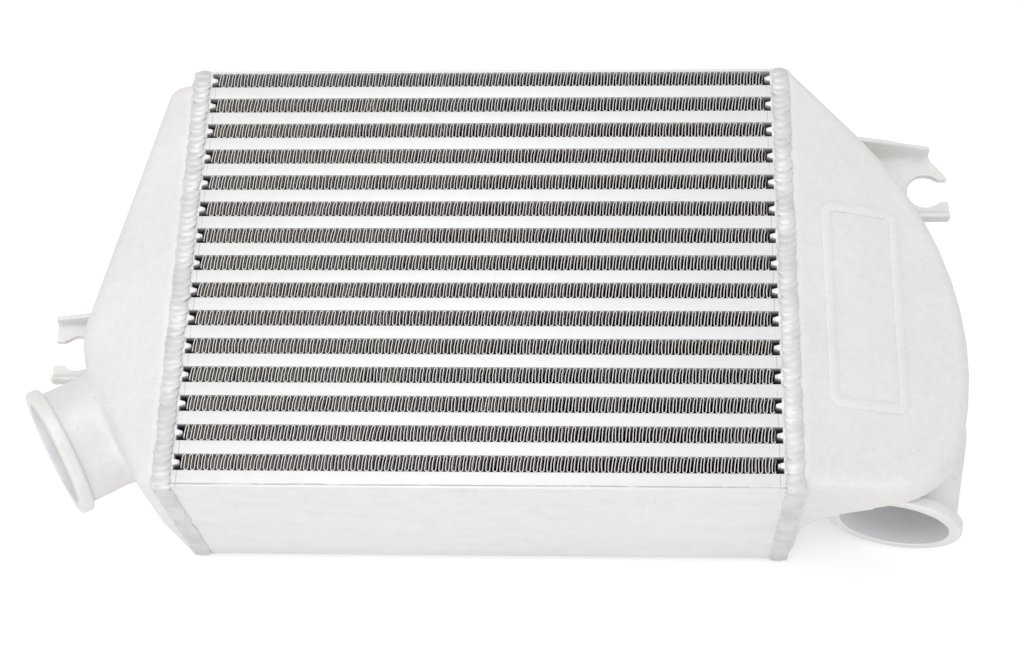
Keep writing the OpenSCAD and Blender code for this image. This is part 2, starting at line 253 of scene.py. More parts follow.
def pick(piece, mode, test, among=None):
    """In edit mode, select only the edges or faces of one piece that pass the test."""
    take(piece)
    bpy.ops.object.mode_set(mode="EDIT")
    bpy.ops.mesh.select_mode(type=mode)
    bpy.ops.mesh.select_all(action="DESELECT")
    bpy.ops.object.mode_set(mode="OBJECT")
    points = piece.data.vertices
    for part in piece.data.edges if mode == "EDGE" else piece.data.polygons:
        allowed = among is None or part.index in among
        part.select = allowed and test([points[i].co for i in part.vertices])
    bpy.ops.object.mode_set(mode="EDIT")


def cap_at(z):
    return lambda points: len(points) > 4 and all(abs(p.z - z) < 1e-5 for p in points)


def ring_at(z, radius):
    return lambda points: all(abs(p.z - z) < 1e-5 and abs(p.xy.length - radius) < 1e-4 for p in points)


def turned_lip():
    """A lip with its mouth at the origin and its neck open towards -Z."""
    bpy.ops.object.select_all(action="DESELECT")
    bpy.ops.mesh.primitive_cylinder_add(
        vertices=128, radius=lip_r, depth=lip_w, location=(0, 0, -lip_w / 2))
    lip = bpy.context.object
    bpy.ops.object.transform_apply(location=True)
    pick(lip, "FACE", cap_at(-lip_w))
    bpy.ops.mesh.inset(thickness=lip_r - neck_r)
    bpy.ops.mesh.extrude_region_move(TRANSFORM_OT_translate={"value": (0, 0, lip_w - lip_step)})
    bpy.ops.mesh.delete(type="ONLY_FACE")
    pick(lip, "FACE", cap_at(0))
    bpy.ops.mesh.inset(thickness=lip_r - bore_r)
    bpy.ops.mesh.extrude_region_move(TRANSFORM_OT_translate={"value": (0, 0, -lip_step)})
    bpy.ops.mesh.delete(type="ONLY_FACE")
    for z in (0, -lip_w):
        pick(lip, "EDGE", ring_at(z, lip_r))
        bpy.ops.mesh.bevel(offset=lip_round, segments=4)
    pick(lip, "EDGE", ring_at(0, bore_r))
    bpy.ops.mesh.bevel(offset=0.5 * MM, segments=3)
    bpy.ops.object.mode_set(mode="OBJECT")
    return lip


def fit_lip(tank, place, out):
    """Saw off the soft lip of a casting and bridge the turned one to the stump."""
    def depth(p):
        return (place - p).dot(out)

    def radius(p):
        return (p - place + out * depth(p)).length

    pick(tank, "FACE", lambda points: min(map(depth, points)) < cut_back and all(
        depth(p) < cut_back + 25 * MM and radius(p) < lip_r + 1 * MM for p in points))
    bpy.ops.mesh.bisect(plane_co=place - out * cut_back, plane_no=out, clear_outer=True, threshold=1e-7)
    bpy.ops.object.mode_set(mode="OBJECT")
    lip = turned_lip()
    stand_on_axis(lip, place, out)
    take(tank, lip)
    bpy.ops.object.join()
    middle, just_past_cut = (neck_r + bore_r) / 2, cut_back + 0.5 * MM
    for side in (1, -1):
        pick(tank, "EDGE", lambda points: all(
            (radius(p) - middle) * side > 0 and depth(p) < just_past_cut for p in points), open_edges(tank))
        bpy.ops.mesh.bridge_edge_loops()
    bpy.ops.mesh.select_all(action="SELECT")
    bpy.ops.mesh.normals_make_consistent(inside=False)
    bpy.ops.object.mode_set(mode="OBJECT")
    bpy.ops.object.shade_smooth_by_angle(angle=math.radians(40))
    print(tank.name, "open edges left:", len(open_edges(tank)))


fit_lip(left_tank, left_mouth, left_out)
fit_lip(right_tank, right_mouth, right_out)
for piece, node in ((left_tank, "left_tank"), (right_tank, "right_tank")):
    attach(piece, "root")
    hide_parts(node)
print("tanks with turned lips", triangles(left_tank), triangles(right_tank))

# %% [markdown]
# ## The raised border
# The right tank carries an empty field with a raised border, crisp because the pattern was cut for it.
# The casting is turned so that the field lies level, the soft border is pressed flat, and a crisp one is
# joined on: a plate is inset, its middle goes, the rim is raised and its edges are bevelled.

# %% Model the raised border
field_w, field_len, field_line, field_round = 44 * MM, 117 * MM, 5 * MM, 7 * MM
field_sunk, field_h = 0.4 * MM, 0.8 * MM
field_fall, rim_end = math.radians(18.7), core_end + 6.5 * MM
field_x, field_y = core_end + 40 * MM, -16 * MM
field_z = core_top - (field_x - rim_end) * math.tan(field_fall)
level = Matrix.Translation((field_x, field_y, field_z)) @ Matrix.Rotation(field_fall, 4, "Y")


def raised_border():
    bpy.ops.object.select_all(action="DESELECT")
    bpy.ops.mesh.primitive_plane_add(size=1, location=(0, 0, -field_sunk))
    border = bpy.context.object
    bpy.ops.object.transform_apply(location=True)
    bpy.ops.object.mode_set(mode="EDIT")
    bpy.ops.mesh.select_all(action="SELECT")
    bpy.ops.transform.resize(value=(field_w, field_len, 1))
    bpy.ops.mesh.select_mode(type="VERT")
    bpy.ops.mesh.bevel(offset=field_round, segments=6, affect="VERTICES")
    bpy.ops.mesh.select_mode(type="FACE")
    bpy.ops.mesh.select_all(action="SELECT")
    bpy.ops.mesh.inset(thickness=field_line)
    bpy.ops.mesh.delete(type="FACE")
    bpy.ops.mesh.select_all(action="SELECT")
    bpy.ops.mesh.extrude_region_move(TRANSFORM_OT_translate={"value": (0, 0, field_sunk + field_h)})
    bpy.ops.mesh.select_all(action="SELECT")
    bpy.ops.mesh.normals_make_consistent(inside=False)
    bpy.ops.object.mode_set(mode="OBJECT")
    finish_with(border, "BEVEL", width=0.18 * MM, segments=2, limit_method="ANGLE",
                angle_limit=math.radians(60))
    return border


def move_by(piece, matrix):
    piece.matrix_world = matrix
    take(piece)
    bpy.ops.object.transform_apply(location=True, rotation=True, scale=True)


move_by(right_tank, level.inverted())
pick(right_tank, "FACE", lambda points: all(
    abs(p.x) < field_w / 2 + 3 * MM and abs(p.y) < field_len / 2 + 3 * MM and 0 < p.z + 0.3 * MM < 2.5 * MM
    for p in points))
bpy.ops.transform.resize(value=(1, 1, 0), center_override=(0, 0, 0))
bpy.ops.object.mode_set(mode="OBJECT")
border = raised_border()
print("border triangles", triangles(border), "open edges", len(open_edges(border)))
take(right_tank, border)
bpy.ops.object.join()
move_by(right_tank, level)
bpy.ops.object.shade_smooth_by_angle(angle=math.radians(40))

# %% [markdown]
# ## The weld beads
# Each tank is welded to the core all round by hand. The welder adds a drop of rod every few
# millimetres, and each drop freezes over the edge of the one before, like a pushed-over stack of coins.
# One drop is a flat round ball that leans on its neighbour, so its front edge stands up as a crescent.
# Copies of it follow the ring, each with small seeded changes, and a fine remesh melts them into one
# bead. The bead turns each corner on a small arc, and ends there in one large shiny drop.

# %% Model one drop and lay the beads
random.seed(7)
bead_w, drop_pitch = 10.8 * MM, 3.9 * MM
drop_half = (bead_w / 2, 4.3 * MM, 1.2 * MM)
drop_lift, crater_at = 0.55 * MM, 3.5 * MM


def one_drop():
    bpy.ops.object.select_all(action="DESELECT")
    bpy.ops.mesh.primitive_uv_sphere_add(segments=28, ring_count=14, radius=1)
    drop = bpy.context.object
    drop.name = drop.data.name = "drop"
    bpy.ops.object.mode_set(mode="EDIT")
    bpy.ops.mesh.select_all(action="SELECT")
    bpy.ops.transform.resize(value=drop_half)
    bpy.ops.object.mode_set(mode="OBJECT")
    return drop


def ring_places(pitch, rear_r, front_r):
    """Places round the end of the core: (point, direction of travel, outward direction)."""
    depth, height = core_rear - core_front, core_top - core_low
    back, up = Vector((0, 1, 0)), Vector((0, 0, 1))
    sides = [
        (Vector((0, core_front, core_top)), back, up, depth, front_r, rear_r),
        (Vector((0, core_rear, core_top)), -up, back, height, rear_r, rear_r),
        (Vector((0, core_rear, core_low)), -back, -up, depth, rear_r, front_r),
        (Vector((0, core_front, core_low)), up, -back, height, front_r, front_r)]
    places = []
    for start, travel, outward, length, first_r, last_r in sides:
        straight = length - first_r - last_r
        count = round(straight / pitch)
        for i in range(count):
            places.append((start + travel * (first_r + straight * (i + 0.5) / count), travel, outward))
        middle = start + (travel * (length - last_r) - outward * last_r)
        for part in (0.2, 0.5, 0.8):
            a = math.pi / 2 * part
            places.append((middle + (outward * math.cos(a) + travel * math.sin(a)) * last_r,
                           travel * math.cos(a) - outward * math.sin(a),
                           outward * math.cos(a) + travel * math.sin(a)))
    return places


def lay_bead(name, side, slant):
    """A bead round one end of the core; `slant` turns its ripples on the upper face."""
    drop = one_drop()
    drops = []
    for point, travel, outward in ring_places(drop_pitch, 4 * MM, 1.5 * MM):
        copy = own_copy(drop, "laid_drop")
        upper, front = outward.z > 0.9, outward.y < -0.9
        lean = math.radians(-17 + random.uniform(-3, 3))
        if not upper:
            lean *= 0.5 if front else 0.7
        corner = abs(outward.y) > 0.1 and abs(outward.z) > 0.1
        across = travel.cross(outward)
        frame3 = Matrix((across, travel, outward)).transposed()
        turn = Matrix.Rotation((slant if upper else 0) + math.radians(random.uniform(-11, 11)), 3, "Z")
        wide, long = random.uniform(0.86, 1.0), random.uniform(0.82, 1.04) * (0.6 if corner else 1)
        size = Matrix.Diagonal((wide, long, 0.9 if front else random.uniform(0.9, 1.04)))
        shift = Vector((side * core_end + random.uniform(-0.4, 0.4) * MM, 0, 0)) + (
            travel * random.uniform(-0.5, 0.5) * MM)
        copy.matrix_world = Matrix.Translation(point + shift + outward * drop_lift) @ (
            frame3 @ turn @ Matrix.Rotation(lean * (0.3 if corner else 1), 3, "X") @ size).to_4x4()
        drops.append(copy)
    for height, scale in ((core_top, (1.0, 1.0, 1.35)), (core_top - 1.2 * MM, (0.9, 0.55, 1.2))):
        end = own_copy(drop, "crater_drop")
        end.matrix_world = Matrix.Translation((side * core_end, core_front + crater_at, height)) @ (
            Matrix.Diagonal(scale)).to_4x4()
        drops.append(end)
    take(*drops)
    bpy.ops.object.transform_apply(location=True, rotation=True, scale=True)
    bpy.ops.object.join()
    bead = bpy.context.object
    bead.name = bead.data.name = name
    bpy.data.objects.remove(drop)
    finish_with(bead, "REMESH", mode="VOXEL", voxel_size=0.42 * MM, use_smooth_shade=True)
    finish_with(bead, "SMOOTH", iterations=1, factor=0.4)
    finish_with(bead, "DECIMATE", ratio=0.42)
    take(bead)
    bpy.ops.object.shade_smooth()
    return bead


left_bead = lay_bead("left_rippled_bead", -1, math.radians(8))
right_bead = lay_bead("right_rippled_bead", 1, math.radians(16))
for piece, node in ((left_bead, "left_weld"), (right_bead, "right_weld")):
    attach(piece, "root")
    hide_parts(node)
print("bead triangles", triangles(left_bead), triangles(right_bead))

# %% [markdown]
# ## The cooling fins
# A fin row is one thin sheet, folded up and down about ninety times and brazed between two tubes. It is
# cut into short strips across the air, and every other strip is shifted by half a fold, which keeps the
# air stirred. One fold is drawn as a ribbon: an upright edge is extruded into a wall and spun into the
# rounded crests. An array repeats the fold and Solidify gives the sheet its thickness.

# %% Model one fold and a strip of folds
fold_count = 88
fin_low, fin_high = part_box("air_fin_01")
fold_pitch = (fin_high[0] - fin_low[0]) / fold_count
sheet_t = 0.36 * MM
row_h = fin_high[1] - fin_low[1] - sheet_t
far_r = 0.215 * fold_pitch
near_r = fold_pitch / 2 - far_r
lean = 0.2 * fold_pitch
strip_h = 3.2 * MM


def ribbon_fold(height, steps):
    """One fold in plan, standing `height` tall: wall, far crest, wall, near crest."""
    bpy.ops.object.select_all(action="DESELECT")
    bpy.ops.mesh.primitive_plane_add(size=1)
    fold = bpy.context.object
    bpy.ops.object.mode_set(mode="EDIT")
    bpy.ops.mesh.select_mode(type="VERT")
    bpy.ops.mesh.select_all(action="SELECT")
    bpy.ops.mesh.merge(type="CENTER")
    bpy.ops.transform.translate(value=(0, -row_h / 2 + near_r, 0))
    bpy.ops.mesh.extrude_region_move(TRANSFORM_OT_translate={"value": (0, 0, -height)})
    bpy.ops.mesh.select_all(action="SELECT")
    wall = row_h - near_r - far_r
    bpy.ops.mesh.extrude_region_move(TRANSFORM_OT_translate={"value": (lean * 0.3, wall * 0.55, 0)})
    bpy.ops.mesh.extrude_region_move(TRANSFORM_OT_translate={"value": (lean * 0.7, wall * 0.45, 0)})
    bpy.ops.mesh.spin(steps=steps, angle=math.pi, axis=(0, 0, 1),
                      center=(lean + far_r, row_h / 2 - far_r, 0))
    bpy.ops.mesh.extrude_region_move(TRANSFORM_OT_translate={"value": (-lean * 0.7, -wall * 0.45, 0)})
    bpy.ops.mesh.extrude_region_move(TRANSFORM_OT_translate={"value": (-lean * 0.3, -wall * 0.55, 0)})
    bpy.ops.mesh.spin(steps=steps, angle=math.pi, axis=(0, 0, -1),
                      center=(2 * far_r + near_r, -row_h / 2 + near_r, 0))
    bpy.ops.object.mode_set(mode="OBJECT")
    return fold


def strip_of_folds(height, steps):
    fold = ribbon_fold(height, steps)
    mod = fold.modifiers.new("folds", "ARRAY")
    mod.count = fold_count
    mod.use_relative_offset = False
    mod.use_constant_offset = True
    mod.constant_offset_displace = (fold_pitch, 0, 0)
    mod.use_merge_vertices = True
    mod.merge_threshold = 1e-6
    take(fold)
    bpy.ops.object.modifier_apply(modifier=mod.name)
    return fold


fine_strip = strip_of_folds(strip_h, 3)
deep_strip = strip_of_folds(core_top - core_low - 4 * strip_h, 3)
print("one strip", len(fine_strip.data.polygons), "faces; fold pitch", round(fold_pitch / MM, 2), "mm")

# %% [markdown]
# Each row gets three fine strips at the top, a plain deep one through the core and one fine strip at the
# bottom. A soft displacement along the row makes the folds uneven, as a folding machine leaves them.

# %% Lay the fin rows
uneven = bpy.data.textures.new("uneven_folds", "CLOUDS")
uneven.noise_scale = 0.009
fin_rows = []
for k in range(1, 16):
    node = "air_fin_%02d" % k
    low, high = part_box(node)
    middle = (low[1] + high[1]) / 2
    strips = []
    levels = [(fine_strip, core_top - 0.3 * MM, 0), (fine_strip, core_top - strip_h, 0.5),
              (fine_strip, core_top - 2 * strip_h, 0), (deep_strip, core_top - 3 * strip_h, 0.5),
              (fine_strip, core_low + strip_h, 0)]
    for source, top, phase in levels:
        strip = own_copy(source, "strip")
        strip.location = (low[0] + phase * fold_pitch, middle, top)
        strips.append(strip)
    take(*strips)
    bpy.ops.object.transform_apply(location=True)
    bpy.ops.object.join()
    row = bpy.context.object
    row.name = row.data.name = "fin_row_%02d" % k
    finish_with(row, "DISPLACE", texture=uneven, direction="X", strength=1.1 * MM, mid_level=0.5)
    finish_with(row, "SOLIDIFY", thickness=sheet_t, offset=0)
    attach(row, "root")
    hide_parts(node)
    fin_rows.append(row)
bpy.data.objects.remove(fine_strip)
bpy.data.objects.remove(deep_strip)
print("fin rows", len(fin_rows), "triangles each", triangles(fin_rows[0]))

# %% [markdown]
# ## The bars and plates of the core
# The tubes, side plates and short bars keep their shape. Their faces are sawn and milled, so each is
# copied and its arrises are broken by a hair, which lets them catch the light.

# %% Break the arrises of the tubes and plates
core_pieces = []
for node in ["charge_tube_%02d" % k for k in range(1, 16)] + [
        "front_side_plate", "rear_side_plate", "left_spacer_bars", "right_spacer_bars"]:
    piece = merged_copy(node, node + "_finished")
    finish_with(piece, "BEVEL", width=0.3 * MM, segments=2, limit_method="ANGLE",
                angle_limit=math.radians(50))
    take(piece)
    bpy.ops.object.shade_smooth_by_angle(angle=math.radians(30))
    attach(piece, "root")
    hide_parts(node)
    core_pieces.append(piece)
print("core pieces", len(core_pieces))

# %% [markdown]
# ## Effects that the finishes share
# A finish is built from a few effects, each a small group of shader nodes: the grain of sand casting,
# the painted highlights of edges and the painted shade of creases, the streaks of milling, a joint line,
# the skin of a weld, the tone of a folded fin with its painted depth shade, and the fine rings that a
# boring bar leaves in a hose neck. An effect puts out heights or masks, and each finish decides what to
# do with them. These helpers add a node and give back its output.

# %% Helpers that build an effect


def effect(name, inputs, outputs):
    """An empty group with these named sockets."""
    tree = bpy.data.node_groups.new(name, "ShaderNodeTree")
    for label, kind, value in inputs:
        socket = tree.interface.new_socket(name=label, in_out="INPUT", socket_type="NodeSocket" + kind)
        if value is not None:
            socket.default_value = value
    for label, kind in outputs:
        tree.interface.new_socket(name=label, in_out="OUTPUT", socket_type="NodeSocket" + kind)
    return tree, tree.nodes.new("NodeGroupInput").outputs, tree.nodes.new("NodeGroupOutput").inputs


def put(tree, kind, into=None, **settings):
    """Add a node; `into` gives its inputs, each a plain value or another node's output."""
    node = tree.nodes.new("ShaderNode" + kind)
    for key, value in settings.items():
        setattr(node, key, value)
    for key, value in (into or {}).items():
        if isinstance(value, bpy.types.NodeSocket):
            tree.links.new(value, node.inputs[key])
        else:
            node.inputs[key].default_value = value
    return node


def calc(tree, what, a, b=0.0):
    return put(tree, "Math", {0: a, 1: b}, operation=what).outputs[0]


def times(tree, a, b):
    return calc(tree, "MULTIPLY", a, b)


def plus(tree, a, b):
    return calc(tree, "ADD", a, b)


def minus(tree, a, b):
    return calc(tree, "SUBTRACT", a, b)


def spread(tree, value, low, high, to_low=0.0, to_high=1.0):
    """Bring a value from one range to another, held at both ends."""
    return put(tree, "MapRange", {"Value": value, "From Min": low, "From Max": high,
                                  "To Min": to_low, "To Max": to_high}).outputs["Result"]


def noise(tree, place, scale, detail=3.0, rough=0.55):
    return put(tree, "TexNoise", {"Vector": place, "Scale": scale, "Detail": detail,
                                  "Roughness": rough}).outputs["Fac"]


def vector(tree, what, a, b):
    return put(tree, "VectorMath", {0: a, 1: b}, operation=what).outputs


# %% [markdown]
# Sand leaves a fine grain in the skin of a casting, with slower mottling and a few small pits where a
# grain stuck. Edges are painted bright as a highlight, a little patchy, and hollows and creases are painted
# dark as shade. Pointiness, which is how sharply the mesh bends at a spot, tells edges from hollows.

# %% Sand grain, painted edge highlights and painted crease shade


def build_sand_grain():
    tree, given, result = effect(
        "sand_grain", [("Position", "Vector", None), ("Grain size", "Float", 0.001)],
        [("Height", "Float"), ("Mottle", "Float"), ("Pits", "Float")])
    place = given["Position"]
    per_metre = calc(tree, "DIVIDE", 1.0, given["Grain size"])
    fine = noise(tree, place, per_metre, 3, 0.6)
    coarse = noise(tree, place, calc(tree, "DIVIDE", per_metre, 6.0), 2)
    cells = put(tree, "TexVoronoi", {"Vector": place, "Scale": 120.0})
    hole = spread(tree, cells.outputs["Distance"], 0.03, 0.09, 1, 0)
    pick_of_cell = put(tree, "SeparateColor", {0: cells.outputs["Color"]}).outputs[0]
    chosen = calc(tree, "GREATER_THAN", pick_of_cell, 0.78)
    pits = times(tree, hole, chosen)
    height = plus(tree, times(tree, fine, 0.6), times(tree, coarse, 0.4))
    tree.links.new(minus(tree, height, pits), result["Height"])
    broad = times(tree, noise(tree, place, 18.0), 0.4)
    middling = times(tree, noise(tree, place, 260.0), 0.25)
    tree.links.new(plus(tree, plus(tree, broad, middling), times(tree, fine, 0.35)), result["Mottle"])
    tree.links.new(pits, result["Pits"])
    return tree


def build_edge_light_and_shade():
    tree, given, result = effect("edge_light_and_shade", [("Position", "Vector", None)],
                                 [("Edge highlight", "Float"), ("Crease shade", "Float")])
    shape = tree.nodes.new("ShaderNodeNewGeometry").outputs["Pointiness"]
    patchy = spread(tree, noise(tree, given["Position"], 90.0), 0.35, 0.6, 0.35, 1)
    # Painted highlight: sharply bent edges get a bright mask, broken up by noise.
    tree.links.new(times(tree, spread(tree, shape, 0.515, 0.57), patchy), result["Edge highlight"])
    # Painted shade: creases and hollows get a dark mask.
    tree.links.new(spread(tree, shape, 0.494, 0.455), result["Crease shade"])
    return tree


sand_grain, edge_light_and_shade = build_sand_grain(), build_edge_light_and_shade()
print("made", sand_grain.name, "and", edge_light_and_shade.name)

# %% [markdown]
# Rolled bars show long faint streaks along their length, and a few scratches across from handling. Where
# a short bar meets a long one, and where the side plate lies on the stack, a fine dark line is left. It
# wanders a little and breaks off where the braze has filled it.

# %% Mill streaks and joint lines


def build_mill_streaks():
    tree, given, result = effect("mill_streaks", [("Position", "Vector", None)],
                                 [("Height", "Float"), ("Streak", "Float"), ("Scratch", "Float")])
    place = given["Position"]
    streak = noise(tree, vector(tree, "MULTIPLY", place, (5, 900, 900))[0], 1.0, 4, 0.65)
    broad = noise(tree, vector(tree, "MULTIPLY", place, (9, 60, 60))[0], 1.0, 2)
    turned = put(tree, "VectorRotate", {"Vector": place, "Angle": 0.5}, rotation_type="Z_AXIS").outputs[0]
    slanted = noise(tree, vector(tree, "MULTIPLY", turned, (24, 620, 30))[0], 1.0, 1)
    scratch = spread(tree, slanted, 0.71, 0.76)
    tree.links.new(minus(tree, streak, times(tree, scratch, 0.7)), result["Height"])
    tree.links.new(plus(tree, times(tree, streak, 0.5), times(tree, broad, 0.5)), result["Streak"])
    tree.links.new(scratch, result["Scratch"])
    return tree


def build_joint_line():
    tree, given, result = effect("joint_line", [("Position", "Vector", None), ("Offset", "Float", 0.0),
                                                ("Half width", "Float", 0.0002)], [("Line", "Float")])
    place = given["Position"]
    wander = times(tree, minus(tree, noise(tree, place, 45.0), 0.5), 0.0014)
    off = calc(tree, "ABSOLUTE", plus(tree, given["Offset"], wander))
    line = spread(tree, calc(tree, "DIVIDE", off, given["Half width"]), 0.5, 1.5, 1, 0)
    broken = spread(tree, noise(tree, place, 70.0), 0.38, 0.5, 0.15, 1)
    tree.links.new(times(tree, line, broken), result["Line"])
    return tree


mill_streaks, joint_line = build_mill_streaks(), build_joint_line()
print("made", mill_streaks.name, "and", joint_line.name)

# %% [markdown]
# The skin of a weld is finely rippled, with a rare spot of soot, and its tint changes from drop to drop.

# %% Weld skin


def build_weld_skin():
    tree, given, result = effect("weld_skin", [("Position", "Vector", None)],
                                 [("Height", "Float"), ("Soot", "Float"), ("Tint", "Float")])
    place = given["Position"]
    ripple = noise(tree, place, 420.0, 3, 0.6)
    spots = spread(tree, put(tree, "TexVoronoi", {"Vector": place, "Scale": 170.0}).outputs["Distance"],
                   0.05, 0.12, 1, 0)
    rare = spread(tree, noise(tree, place, 60.0), 0.56, 0.62)
    soot = times(tree, spots, rare)
    tree.links.new(minus(tree, ripple, soot), result["Height"])
    tree.links.new(soot, result["Soot"])
    tree.links.new(noise(tree, place, 75.0, 2), result["Tint"])
    return tree


weld_skin = build_weld_skin()
print("made", weld_skin.name)

# %% [markdown]
# A fin changes tone with its place: bright at the cut edges, brownish at the near crests, and painted
# darker in its depth as shade. The row pitch tells where a point lies within its own row, so one effect
# serves every row, and it is the same seen from above and from below.

# %% Fin tone


def build_fin_tone():
    tree, given, result = effect("fin_tone", [
        ("Position", "Vector", None), ("First row", "Float", 0.0), ("Row pitch", "Float", 0.016),
        ("Row depth", "Float", 0.01), ("Top", "Float", 0.112), ("Low", "Float", 0.0)],
        [("Near crest", "Float"), ("Depth", "Float"), ("Cut edge", "Float")])
    along = put(tree, "SeparateXYZ", {0: given["Position"]}).outputs
    local = calc(tree, "MODULO", minus(tree, along["Y"], given["First row"]), given["Row pitch"])
    share = calc(tree, "DIVIDE", local, given["Row depth"])
    below = calc(tree, "MINIMUM", minus(tree, given["Top"], along["Z"]),
                 minus(tree, along["Z"], given["Low"]))
    tree.links.new(spread(tree, share, 0.36, 0.18), result["Near crest"])
    # painted shade: this mask rises with depth below the open faces
    tree.links.new(spread(tree, below, 0.0006, 0.0045), result["Depth"])
    tree.links.new(spread(tree, below, 0.0007, 0.0004), result["Cut edge"])
    return tree


fin_tone = build_fin_tone()
print("made", fin_tone.name)

# %% [markdown]
# The inside of a hose neck is bored true, so it is brighter and cooler than the cast skin, with very fine
# rings. The mask is the room within one radius of the neck's axis, and it fades out where the tool stops.

# %% Turned bore


def build_turned_bore():
    tree, given, result = effect("turned_bore", [
        ("Position", "Vector", None), ("Mouth", "Vector", None), ("Way in", "Vector", None),
        ("Radius", "Float", 0.03), ("Length", "Float", 0.04)], [("Inside", "Float"), ("Rings", "Float")])
    away = vector(tree, "SUBTRACT", given["Position"], given["Mouth"])[0]
    depth = vector(tree, "DOT_PRODUCT", away, given["Way in"])["Value"]
    along = put(tree, "VectorMath", {0: given["Way in"], "Scale": depth}, operation="SCALE").outputs[0]
    radius = vector(tree, "DISTANCE", away, along)["Value"]
    fade = spread(tree, calc(tree, "DIVIDE", depth, given["Length"]), 0.8, 1.0, 1, 0)
    inside = times(tree, calc(tree, "LESS_THAN", radius, given["Radius"]), fade)
    tree.links.new(inside, result["Inside"])
    grooves = put(tree, "TexNoise", {"Scale": 1500.0, "Detail": 2.0, "W": depth}, noise_dimensions="1D")
    tree.links.new(times(tree, grooves.outputs["Fac"], inside), result["Rings"])
    return tree


turned_bore = build_turned_bore()
print("all effects:", [g.name for g in bpy.data.node_groups])

# %% [markdown]
# ## The finishes
# Everything here is bare aluminium, and what tells the pieces apart is how each was made. Each finish
# mixes its colours from the masks of the effects, one over the other, and embosses their height. It reads
# the place of a point on the object, so nothing has to be unwrapped.

# %% Helpers that mix a finish


def finish(name, metallic, rough):
    """A new material; constants are set on the shader itself."""
    mat = bpy.data.materials.new(name)
    mat.use_nodes = True
    tree = mat.node_tree
    shader = tree.nodes["Principled BSDF"]
    shader.inputs["Metallic"].default_value = metallic
    shader.inputs["Roughness"].default_value = rough
    place = tree.nodes.new("ShaderNodeTexCoord").outputs["Object"]
    return mat, tree, shader, place


def use(tree, group, place, **values):
    node = tree.nodes.new("ShaderNodeGroup")
    node.node_tree = group
    tree.links.new(place, node.inputs["Position"])
    for label, value in values.items():
        node.inputs[label.replace("_", " ")].default_value = value
    return node.outputs


def blend(tree, fac, first, second, blend_type="MIX"):
    """Mix two colours; each is a colour or another node's output."""
    node = tree.nodes.new("ShaderNodeMix")
    node.data_type = "RGBA"
    node.blend_type = blend_type
    for socket, value in ((node.inputs[0], fac), (node.inputs[6], first), (node.inputs[7], second)):
        if isinstance(value, bpy.types.NodeSocket):
            tree.links.new(value, socket)
        else:
            socket.default_value = value if isinstance(value, float) else (*value, 1)
    return node.outputs[2]


def emboss(tree, shader, height, strength, depth):
    bump = put(tree, "Bump", {"Height": height, "Strength": strength, "Distance": depth})
    tree.links.new(bump.outputs["Normal"], shader.inputs["Normal"])


def dress(pieces, mat):
    for piece in pieces:
        piece.data.materials.clear()
        piece.data.materials.append(mat)
    print(mat.name, "on", len(pieces), "pieces, nodes", len(mat.node_tree.nodes))


# %% [markdown]
# The castings are bead-blasted: matt and slightly warm, with a sand grain, faint mottling and a few pits.
# Their edges are painted bright as a highlight and made a little smoother, and their creases are painted
# dark as shade. The two bores show the turned metal.

# %% Finish of the castings


def cast_finish():
    mat, tree, shader, place = finish("cast_aluminium", 0.25, 0.5)
    grain, edge_light = use(tree, sand_grain, place, Grain_size=0.9 * MM), use(tree, edge_light_and_shade, place)
    mottle = spread(tree, grain["Mottle"], 0.36, 0.64)
    colour = blend(tree, mottle, (0.755, 0.745, 0.73), (0.86, 0.853, 0.842))
    colour = blend(tree, times(tree, grain["Pits"], 0.45), colour, (0.5, 0.49, 0.48))
    # painted shade in the creases and hollows of the casting
    colour = blend(tree, times(tree, edge_light["Crease shade"], 0.35), colour, (0.56, 0.55, 0.54))
    # painted highlight along the edges of the casting
    colour = blend(tree, times(tree, edge_light["Edge highlight"], 0.5), colour, (0.9, 0.9, 0.9))
    height = grain["Height"]
    for middle, out in ((left_mouth, left_out), (right_mouth, right_out)):
        bore = use(tree, turned_bore, place, Mouth=middle, Way_in=-out,
                   Radius=bore_r + 0.4 * MM, Length=45 * MM)
        colour = blend(tree, times(tree, bore["Inside"], 0.85), colour, (0.865, 0.875, 0.893))
        height = plus(tree, height, times(tree, bore["Rings"], 0.25))
    tree.links.new(colour, shader.inputs["Base Color"])
    rough = spread(tree, grain["Mottle"], 0.36, 0.64, 0.56, 0.44)
    tree.links.new(minus(tree, rough, times(tree, edge_light["Edge highlight"], 0.16)), shader.inputs["Roughness"])
    emboss(tree, shader, height, 0.6, 0.3 * MM)
    return mat


dress([left_tank, right_tank], cast_finish())

# %% [markdown]
# The bars and plates keep the streaks of the mill, with a joint line near each weld and along the side
# plate. The long faces of a tube are painted a dull dark grey below the open faces of the core, as the
# shade that falls deep inside it.

# %% Finish of the bars and plates
joint_inset = 2.2 * MM


